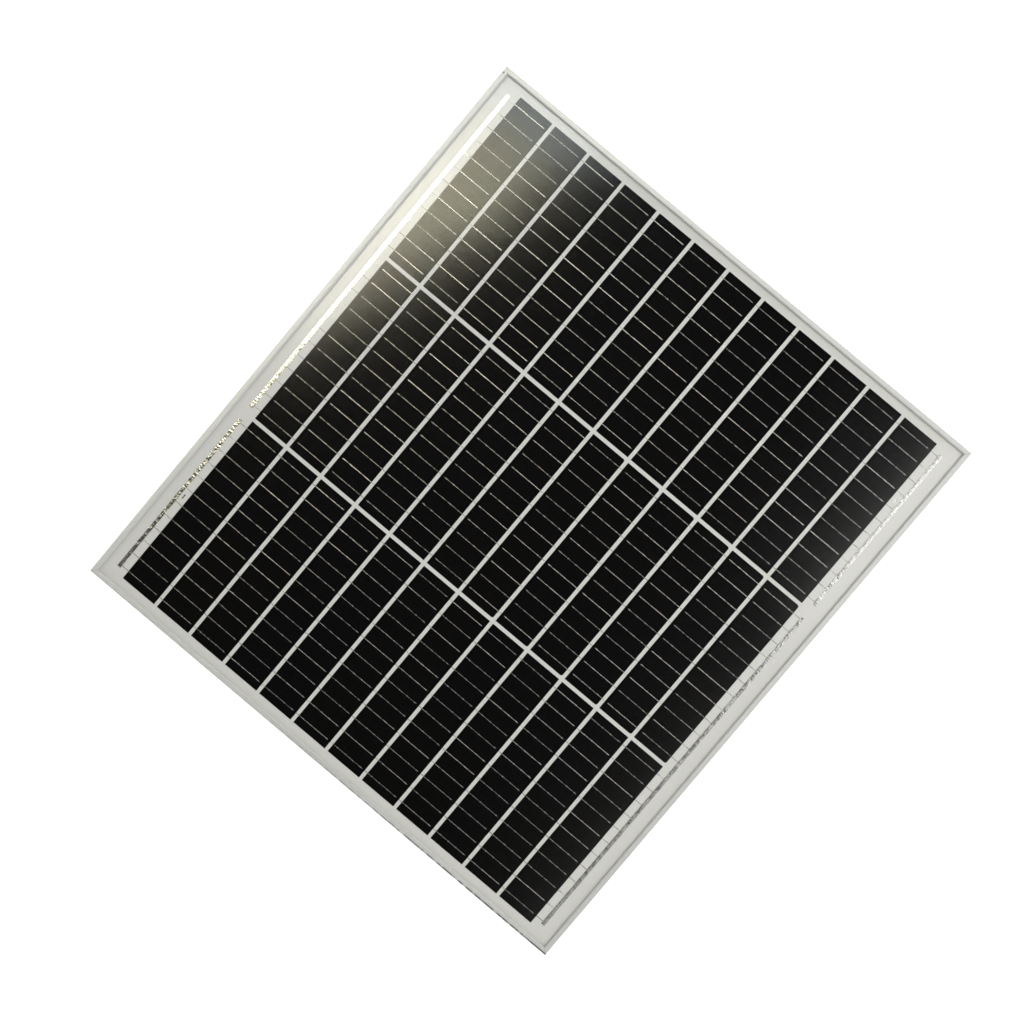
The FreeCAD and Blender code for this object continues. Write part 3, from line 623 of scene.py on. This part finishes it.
# === Sealant bead =========================================================================
# The silicone that the lip squeezed out over the glass, wiped back to a thin grey bead all
# round. It wavers where the finger wiped it.
BEAD_RADIUS = 0.55 * MM
BEAD_SIDES = 10
BEAD_STEP = 2.5 * MM
BEAD_WAVER = 0.35 * MM
BEAD_WAVES_PER_METRE = 60.0
LIP_WIDTH = 5.0 * MM


def new_tree(name, inputs):
    """An empty geometry tree. inputs map a name to a socket type and a value."""
    tree = bpy.data.node_groups.new(name, "GeometryNodeTree")
    tree.interface.new_socket("Geometry", in_out="INPUT", socket_type="NodeSocketGeometry")
    tree.interface.new_socket("Geometry", in_out="OUTPUT", socket_type="NodeSocketGeometry")
    for label, (kind, value) in inputs.items():
        socket = tree.interface.new_socket(label, in_out="INPUT", socket_type="NodeSocket" + kind)
        socket.default_value = value
    return tree, tree.nodes.new("NodeGroupInput").outputs, tree.nodes.new("NodeGroupOutput").inputs


def end_tree(tree, sink, geometry, material):
    """Realize Instances and Set Material, the last two steps of each tree."""
    solid = add(tree, "GeometryNodeRealizeInstances", {"Geometry": geometry})
    painted = add(tree, "GeometryNodeSetMaterial", {"Geometry": solid.outputs[0], "Material": material})
    tree.links.new(painted.outputs[0], sink["Geometry"])


def grown(name, tree, values=(), vertices=((0, 0, 0),), edges=()):
    """Runs a geometry tree on a few points and edges, and keeps the result as a plain mesh."""
    seed = bpy.data.meshes.new(name + "_seed")
    seed.from_pydata(vertices, edges, [])
    piece = bpy.data.objects.new(name, seed)
    bpy.context.scene.collection.objects.link(piece)
    modifier = piece.modifiers.new("grow", "NODES")
    modifier.node_group = tree
    for item in tree.interface.items_tree:
        if item.in_out == "INPUT" and item.name in dict(values):
            modifier[item.identifier] = dict(values)[item.name]
    depsgraph = bpy.context.evaluated_depsgraph_get()
    mesh = bpy.data.meshes.new_from_object(piece.evaluated_get(depsgraph), depsgraph=depsgraph)
    piece.modifiers.clear()
    piece.data = mesh
    bpy.data.meshes.remove(seed)
    return piece


wiped_silicone = moulded(
    "wiped_silicone", (0.85, 0.85, 0.83, 1), (0.72, 0.72, 0.71, 1), 0.4, 0.6, grains=500.0
)
tree, source, sink = new_tree(
    "wavering_bead",
    {
        "Radius": ("Float", BEAD_RADIUS),
        "Step": ("Float", BEAD_STEP),
        "Waver": ("Float", BEAD_WAVER),
        "Waves per metre": ("Float", BEAD_WAVES_PER_METRE),
    },
)
path = add(tree, "GeometryNodeMeshToCurve", {"Mesh": source["Geometry"]})
steps = {"Curve": path.outputs[0], "Length": source["Step"]}
path = add(tree, "GeometryNodeResampleCurve", steps, mode="LENGTH")
sway = add(tree, "ShaderNodeTexNoise", {"Scale": source["Waves per metre"], "Detail": 1.0})
centred = {0: sway.outputs["Color"], 1: (0.5, 0.5, 0.5)}
sway = add(tree, "ShaderNodeVectorMath", centred, operation="SUBTRACT")
sway = add(tree, "ShaderNodeVectorMath", {0: sway.outputs[0], 1: (1, 1, 0)}, operation="MULTIPLY")
sized = {0: sway.outputs[0], "Scale": source["Waver"]}
sway = add(tree, "ShaderNodeVectorMath", sized, operation="SCALE")
path = add(tree, "GeometryNodeSetPosition", {"Geometry": path.outputs[0], "Offset": sway.outputs[0]})
ring = {"Resolution": BEAD_SIDES, "Radius": source["Radius"]}
section = add(tree, "GeometryNodeCurvePrimitiveCircle", ring)
swept = {"Curve": path.outputs[0], "Profile Curve": section.outputs[0]}
bead = add(tree, "GeometryNodeCurveToMesh", swept)
end_tree(tree, sink, bead.outputs[0], wiped_silicone)

bead_x, bead_y = cad_box[1].x - LIP_WIDTH, cad_box[1].y - LIP_WIDTH
bead = grown(
    "sealant_bead",
    tree,
    vertices=[(x * bead_x, y * bead_y, glass_high.z) for x, y in ((-1, -1), (1, -1), (1, 1), (-1, 1))],
    edges=[(0, 1), (1, 2), (2, 3), (3, 0)],
)
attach(bead, "panel")

# === Cells ================================================================================
# Strips of a monocrystalline wafer under a blue-black coating. Silver fingers finer than a
# hair run along each strip, and each strip's coating differs a little from the next.
COLUMNS = 12
CELL_WIDTH = 42.0 * MM
ROWS = 3
ROW_PITCH = 214.0 * MM
FINGER_PITCH = 1.35 * MM
FINGER_WIDTH = 0.07 * MM
FINGER_SHOW = 0.30
FINGER_GREY = (0.05, 0.05, 0.05, 1)
BLUE_BLACK = (0.0016, 0.0018, 0.0026, 1)
BROWN_BLACK = (0.0026, 0.0023, 0.0021, 1)
CELL_SHARE, CLOUD_SHARE = 0.6, 0.4

cells_width = cells_high.x - cells_low.x
column_pitch = (cells_width - CELL_WIDTH) / (COLUMNS - 1)

silicon, tree, output = new_material("coated_silicon")
place = add(tree, "ShaderNodeTexCoord").outputs["Object"]
xyz = add(tree, "ShaderNodeSeparateXYZ", {0: place})
from_left = maths(tree, "SUBTRACT", xyz.outputs["X"], cells_low.x)
column = maths(tree, "FLOOR", maths(tree, "DIVIDE", from_left, column_pitch))
row = maths(tree, "FLOOR", maths(tree, "MULTIPLY", xyz.outputs["Y"], 1 / ROW_PITCH))
cell_number = add(tree, "ShaderNodeCombineXYZ", {0: column, 1: row})
cell_random = add(
    tree, "ShaderNodeTexWhiteNoise", {"Vector": cell_number.outputs[0]}, noise_dimensions="3D"
)
in_cell = maths(tree, "SUBTRACT", from_left, maths(tree, "MULTIPLY", column, column_pitch))
phase = maths(tree, "FRACT", maths(tree, "DIVIDE", in_cell, FINGER_PITCH))
from_finger = maths(tree, "ABSOLUTE", maths(tree, "SUBTRACT", phase, 0.5))
finger = ramp(tree, from_finger, 0.0, FINGER_WIDTH / FINGER_PITCH, 1.0, 0.0)
cloud = add(tree, "ShaderNodeTexNoise", {"Vector": place, "Scale": 14.0, "Detail": 3.0})
drift = maths(
    tree,
    "ADD",
    maths(tree, "MULTIPLY", cell_random.outputs["Value"], CELL_SHARE),
    maths(tree, "MULTIPLY", cloud.outputs["Fac"], CLOUD_SHARE),
)
coating = mix_colour(tree, drift, BLUE_BLACK, BROWN_BLACK)
colour = mix_colour(tree, maths(tree, "MULTIPLY", finger, FINGER_SHOW), coating, FINGER_GREY)
surface = add(
    tree,
    "ShaderNodeBsdfPrincipled",
    {
        "Base Color": colour,
        "Roughness": ramp(tree, cloud.outputs["Fac"], *NOISE_SPREAD, 0.38, 0.5),
        "Specular IOR Level": 0.02,
        "Coat Weight": PRESSED_COAT,
        "Coat Roughness": COAT_ROUGHNESS,
    },
)
tree.links.new(surface.outputs[0], output.inputs["Surface"])
for name in ("cell_string_top", "cell_string_middle", "cell_string_bottom"):
    finish_node(name, silicon)

# === Solder pads ==========================================================================
# Small printed silver pads under each wire, four across a cell, where the wire is soldered.
RIBBONS = 12
RIBBON_PITCH = 17.4 * MM
PADS_ACROSS = 4
PAD_PITCH = 10.2 * MM
PAD_SIZE = Vector((1.3, 1.1, 0.04)) * MM

printed_silver = moulded(
    "printed_silver",
    (0.42, 0.42, 0.40, 1),
    (0.30, 0.30, 0.29, 1),
    0.4,
    0.6,
    grains=2500.0,
    depth=0.004 * MM,
)
tree, source, sink = new_tree(
    "pads_on_cells",
    {
        "Columns": ("Int", COLUMNS),
        "Column pitch": ("Float", column_pitch),
        "Rows": ("Int", ROWS),
        "Row pitch": ("Float", ROW_PITCH),
        "Ribbons": ("Int", RIBBONS),
        "Ribbon pitch": ("Float", RIBBON_PITCH),
        "Pads across": ("Int", PADS_ACROSS),
        "Pad pitch": ("Float", PAD_PITCH),
        "Pad size": ("Vector", PAD_SIZE),
        "Centre": ("Vector", cells_centre),
    },
)


def spaced_grid(tree, across, pitch_across, along, pitch_along):
    """A grid of points, from how many there are and how far apart."""
    sizes = [
        maths(tree, "MULTIPLY", maths(tree, "SUBTRACT", count, 1.0), pitch)
        for count, pitch in ((across, pitch_across), (along, pitch_along))
    ]
    sockets = {"Size X": sizes[0], "Size Y": sizes[1], "Vertices X": across, "Vertices Y": along}
    return add(tree, "GeometryNodeMeshGrid", sockets).outputs[0]


pad = add(tree, "GeometryNodeMeshCube", {"Size": source["Pad size"]})
on_cell = add(
    tree,
    "GeometryNodeInstanceOnPoints",
    {
        "Points": spaced_grid(
            tree, source["Pads across"], source["Pad pitch"], source["Ribbons"], source["Ribbon pitch"]
        ),
        "Instance": pad.outputs[0],
    },
)
on_array = add(
    tree,
    "GeometryNodeInstanceOnPoints",
    {
        "Points": spaced_grid(
            tree, source["Columns"], source["Column pitch"], source["Rows"], source["Row pitch"]
        ),
        "Instance": on_cell.outputs[0],
    },
)
placed = add(
    tree, "GeometryNodeTransform", {"Geometry": on_array.outputs[0], "Translation": source["Centre"]}
)
end_tree(tree, sink, placed.outputs[0], printed_silver)
pads = grown("solder_pads", tree)
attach(pads, "panel")

# === Cell ribbons =========================================================================
# Flattened tinned wires, twelve to a cell. Each leaves the back of one cell, bends up
# through the gap and is soldered along the face of the next. The middle row runs the
# other way.
tin, tree, output = new_material("tinned_wire")
place = add(tree, "ShaderNodeTexCoord").outputs["Object"]
rolled = use_group(
    tree,
    drawn_lines,
    {
        "Vector": place,
        "Lines per metre": 1800.0,
        "Stretch": 0.12,
        "Roughness low": 0.22,
        "Roughness high": 0.34,
        "Depth": 0.006 * MM,
    },
)

# Each length takes the solder differently, so some are bright and some dull.
DULL_TIN = (0.27, 0.27, 0.265, 1)
BRIGHT_TIN = (0.78, 0.78, 0.77, 1)
DULL_BELOW = 0.35
WIRE_SHARE, LINE_SHARE = 0.7, 0.3
xyz = add(tree, "ShaderNodeSeparateXYZ", {0: place})
from_left = maths(tree, "SUBTRACT", xyz.outputs["X"], cells_low.x)
column = maths(tree, "FLOOR", maths(tree, "DIVIDE", from_left, column_pitch))
wire = maths(tree, "FLOOR", maths(tree, "DIVIDE", xyz.outputs["Y"], RIBBON_PITCH))
wire_number = add(tree, "ShaderNodeCombineXYZ", {0: column, 1: wire})
wire_random = add(
    tree, "ShaderNodeTexWhiteNoise", {"Vector": wire_number.outputs[0]}, noise_dimensions="3D"
)
brightness = maths(
    tree,
    "ADD",
    maths(tree, "MULTIPLY", ramp(tree, wire_random.outputs["Value"], DULL_BELOW, 1.0), WIRE_SHARE),
    maths(tree, "MULTIPLY", rolled.outputs["Lines"], LINE_SHARE),
)
metal = add(
    tree,
    "ShaderNodeBsdfPrincipled",
    {
        "Base Color": mix_colour(tree, brightness, DULL_TIN, BRIGHT_TIN),
        "Metallic": 0.8,
        "Roughness": rolled.outputs["Roughness"],
        "Normal": rolled.outputs["Normal"],
    },
)
tree.links.new(metal.outputs[0], output.inputs["Surface"])
for name in ("cell_ribbons_top", "cell_ribbons_middle", "cell_ribbons_bottom"):
    finish_node(name, tin)

# === Bus ribbons and leads ================================================================
# Wide soft copper tape, dipped in solder. It is handled while it is soldered, so it
# comes out crinkled and mirrors the room in flecks. The upper lengths were pulled flat.
TAPE_STEP = 0.8 * MM
FOLD_HEIGHT = 0.07 * MM
CROWN = 0.012 * MM
FOLDS_PER_METRE = 520.0
FOLD_STRETCH = 0.4
CRINKLES_PER_METRE = 560.0
CRINKLE_DEPTH = 0.09 * MM
FLAT_LEFT_OVER = 0.2
FLAT_TO_FOLDED = 0.08
UPPER_FLAT_FROM = 0.08
NEVER_FLAT = 0.10

solder, tree, output = new_material("crinkled_solder")
place = add(tree, "ShaderNodeTexCoord").outputs["Object"]
stretched = add(tree, "ShaderNodeMapping", {"Vector": place, "Scale": (FOLD_STRETCH, 1, 1)})
crinkle = add(
    tree,
    "ShaderNodeTexNoise",
    {"Vector": stretched.outputs[0], "Scale": CRINKLES_PER_METRE, "Detail": 2.0},
)
bump = add(
    tree, "ShaderNodeBump", {"Strength": 1.0, "Distance": CRINKLE_DEPTH, "Height": crinkle.outputs["Fac"]}
)
metal = add(
    tree,
    "ShaderNodeBsdfPrincipled",
    {
        "Base Color": mix_colour(tree, crinkle.outputs["Fac"], (0.50, 0.50, 0.49, 1), (0.84, 0.84, 0.83, 1)),
        "Metallic": 1.0,
        "Roughness": ramp(tree, crinkle.outputs["Fac"], *NOISE_SPREAD, 0.10, 0.24),
        "Normal": bump.outputs[0],
    },
)
tree.links.new(metal.outputs[0], output.inputs["Surface"])
for name in ("lead_ribbon_positive", "lead_ribbon_negative"):
    finish_node(name, solder)

tree, source, sink = new_tree(
    "crinkled_tape",
    {
        "Size": ("Vector", (0.004, 0.2, 0.00025)),
        "Centre": ("Vector", (0, 0, 0)),
        "Step": ("Float", TAPE_STEP),
        "Fold height": ("Float", FOLD_HEIGHT),
        "Crown": ("Float", CROWN),
        "Folds per metre": ("Float", FOLDS_PER_METRE),
        "Flat above": ("Float", 1.0),
    },
)
size = add(tree, "ShaderNodeSeparateXYZ", {0: source["Size"]})
tape = add(
    tree,
    "GeometryNodeMeshCube",
    {
        "Size": source["Size"],
        "Vertices X": maths(tree, "DIVIDE", size.outputs["X"], source["Step"]),
        "Vertices Y": maths(tree, "DIVIDE", size.outputs["Y"], source["Step"]),
    },
)
placed = add(
    tree, "GeometryNodeTransform", {"Geometry": tape.outputs[0], "Translation": source["Centre"]}
)
place = add(tree, "GeometryNodeInputPosition")
flat_place = add(
    tree, "ShaderNodeVectorMath", {0: place.outputs[0], 1: (FOLD_STRETCH, 1, 0)}, operation="MULTIPLY"
)
folds = add(
    tree,
    "ShaderNodeTexNoise",
    {"Vector": flat_place.outputs[0], "Scale": source["Folds per metre"], "Detail": 1.0},
)
along = add(tree, "ShaderNodeSeparateXYZ", {0: place.outputs[0]})
below_flat = maths(tree, "SUBTRACT", source["Flat above"], along.outputs["Y"])
lift = product(
    tree,
    ramp(tree, folds.outputs[0], *NOISE_SPREAD),
    ramp(tree, below_flat, 0.0, FLAT_TO_FOLDED, FLAT_LEFT_OVER, 1.0),
    source["Fold height"],
)
middle = add(tree, "ShaderNodeSeparateXYZ", {0: source["Centre"]})
from_middle = maths(tree, "SUBTRACT", along.outputs["X"], middle.outputs["X"])
share_out = maths(tree, "DIVIDE", from_middle, maths(tree, "MULTIPLY", size.outputs["X"], 0.5))
crown = maths(tree, "SUBTRACT", 1.0, maths(tree, "MULTIPLY", share_out, share_out))
lift = maths(tree, "ADD", lift, maths(tree, "MULTIPLY", crown, source["Crown"]))
offset = add(tree, "ShaderNodeCombineXYZ", {2: lift})
folded = add(
    tree, "GeometryNodeSetPosition", {"Geometry": placed.outputs[0], "Offset": offset.outputs[0]}
)
end_tree(tree, sink, folded.outputs[0], solder)

for side in ("left", "right"):
    for part in ("upper", "lower"):
        low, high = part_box(f"bus_ribbon_{side}_{part}")
        tape = grown(
            f"bus_tape_{side}_{part}",
            tree,
            {
                "Size": high - low,
                "Centre": (low + high) / 2,
                "Flat above": low.y + UPPER_FLAT_FROM if part == "upper" else high.y + NEVER_FLAT,
            },
        )
        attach(tape, "panel")
        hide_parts(f"bus_ribbon_{side}_{part}")

# === Rear film and insulation strips ======================================================
# The film behind the cells is the white kind, which shows between them. The strips that
# keep the leads off the cells are cut from the same white stock.
white_film = moulded(
    "white_film",
    (0.79, 0.79, 0.775, 1),
    (0.75, 0.75, 0.735, 1),
    0.6,
    0.75,
    grains=260.0,
    coat=PRESSED_COAT,
)
for name in ("rear_encapsulant", "insulation_strip_positive", "insulation_strip_negative"):
    finish_node(name, white_film)

# The bend of each lead, beside its bus ribbon, lies under a patch of the same stock.
LEAD_WIDTH = 5.0 * MM
PATCH_REACH = 2.8 * MM
PATCH_WIDTH = 6.6 * MM
PATCH_GAP = 0.01 * MM
PATCH_THICKNESS = 0.06 * MM

for lead, bus, towards_cells in (("positive", "right_upper", -1), ("negative", "left_lower", 1)):
    lead_low, lead_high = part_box(f"lead_ribbon_{lead}")
    tape_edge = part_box(f"bus_ribbon_{bus}")[0 if towards_cells < 0 else 1].x
    far_edge = tape_edge + towards_cells * PATCH_REACH
    low_y = lead_low.y + (LEAD_WIDTH - PATCH_WIDTH) / 2
    low_z = lead_high.z + PATCH_GAP
    patch = slab(
        f"lead_patch_{lead}",
        Vector((min(tape_edge, far_edge), low_y, low_z)),
        Vector((max(tape_edge, far_edge), low_y + PATCH_WIDTH, low_z + PATCH_THICKNESS)),
        PATCH_GAP,
        white_film,
    )
    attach(patch, "panel")

# === Backsheet ============================================================================
# White polyester skin on the back, matt, with a fine grain.
finish_node(
    "backsheet",
    moulded("backsheet_skin", (0.82, 0.82, 0.80, 1), (0.79, 0.79, 0.775, 1), 0.45, 0.6, grains=900.0),
)

# === Label ================================================================================
# A silver polyester label, printed with an empty table: a border, nine rows and one column
# line. Nothing is written in it.
LABEL_ROWS = 9
LABEL_COLUMN = 0.60
LABEL_MARGIN = 0.045
LINE = 0.4 * MM
INK = (0.04, 0.04, 0.045, 1)

label_low, label_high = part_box("rating_label")
label_face, tree, output = new_material("label_face")
place = add(tree, "ShaderNodeTexCoord").outputs["Object"]
xyz = add(tree, "ShaderNodeSeparateXYZ", {0: place})
width, height = label_high.x - label_low.x, label_high.y - label_low.y
u = maths(tree, "DIVIDE", maths(tree, "SUBTRACT", xyz.outputs["X"], label_low.x), width)
v = maths(tree, "DIVIDE", maths(tree, "SUBTRACT", xyz.outputs["Y"], label_low.y), height)
in_row = maths(tree, "FRACT", maths(tree, "MULTIPLY", v, LABEL_ROWS))
from_row_middle = maths(tree, "ABSOLUTE", maths(tree, "SUBTRACT", in_row, 0.5))
row_line = maths(tree, "GREATER_THAN", from_row_middle, 0.5 - LINE / 2 * LABEL_ROWS / height)
from_column = maths(tree, "ABSOLUTE", maths(tree, "SUBTRACT", u, LABEL_COLUMN))
column_line = maths(tree, "LESS_THAN", from_column, LINE / 2 / width)
out_x = maths(tree, "ABSOLUTE", maths(tree, "SUBTRACT", u, 0.5))
out_y = maths(tree, "ABSOLUTE", maths(tree, "SUBTRACT", v, 0.5))
outermost = maths(tree, "MAXIMUM", out_x, out_y)
inside = maths(tree, "LESS_THAN", outermost, 0.5 - LABEL_MARGIN)
border = maths(tree, "COMPARE", outermost, 0.5 - LABEL_MARGIN)
border.node.inputs[2].default_value = LINE / width
printed = maths(tree, "MULTIPLY", maths(tree, "MAXIMUM", row_line, column_line), inside)
printed = maths(tree, "MAXIMUM", printed, border)
skin = use_group(
    tree,
    moulded_grain,
    {
        "Vector": place,
        "Grains per metre": 2500.0,
        "Roughness low": 0.3,
        "Roughness high": 0.4,
        "Depth": 0.005 * MM,
    },
)
tone = mix_colour(tree, skin.outputs["Grain"], (0.62, 0.63, 0.64, 1), (0.70, 0.71, 0.72, 1))
surface = add(
    tree,
    "ShaderNodeBsdfPrincipled",
    {
        "Base Color": mix_colour(tree, printed, tone, INK),
        "Roughness": skin.outputs["Roughness"],
        "Normal": skin.outputs["Normal"],
    },
)
tree.links.new(surface.outputs[0], output.inputs["Surface"])
finish_node("rating_label", label_face)

# === Junction box =========================================================================
# A black moulded tray with a glued foot, and a snap lid on two pins, both with a fine spark
# texture. The gasket is black rubber.
black_plastic = moulded("black_plastic", (0.030, 0.030, 0.032, 1), (0.018, 0.018, 0.020, 1), 0.42, 0.6)
for name in ("junction_box_base", "junction_box_lid"):
    finish_node(name, black_plastic)
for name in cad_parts:
    if name.startswith(("gland_body", "gland_nut", "gland_locknut")):
        finish_node(name, black_plastic)
black_rubber = moulded("black_rubber", (0.045, 0.045, 0.045, 1), (0.03, 0.03, 0.03, 1), 0.65, 0.85)
for name in ("lid_gasket", "gland_seal_left", "gland_seal_right"):
    finish_node(name, black_rubber)
finish_node(
    "junction_box_adhesive",
    moulded("glue_bead", (0.76, 0.76, 0.73, 1), (0.66, 0.66, 0.63, 1), 0.35, 0.5, grains=300.0),
)
for name in ("hinge_pin_left", "hinge_pin_right", "terminal_screws"):
    finish_node(name, key_metal)
for name in ("terminal_positive", "terminal_negative"):
    finish_node(name, tin)
finish_node(
    "bypass_diode",
    moulded("diode_epoxy", (0.04, 0.04, 0.042, 1), (0.025, 0.025, 0.027, 1), 0.25, 0.4, grains=2500.0),
)

# === Picture tones ========================================================================
# Whites stay white, with no film curve.
bpy.context.scene.view_settings.view_transform = "Standard"
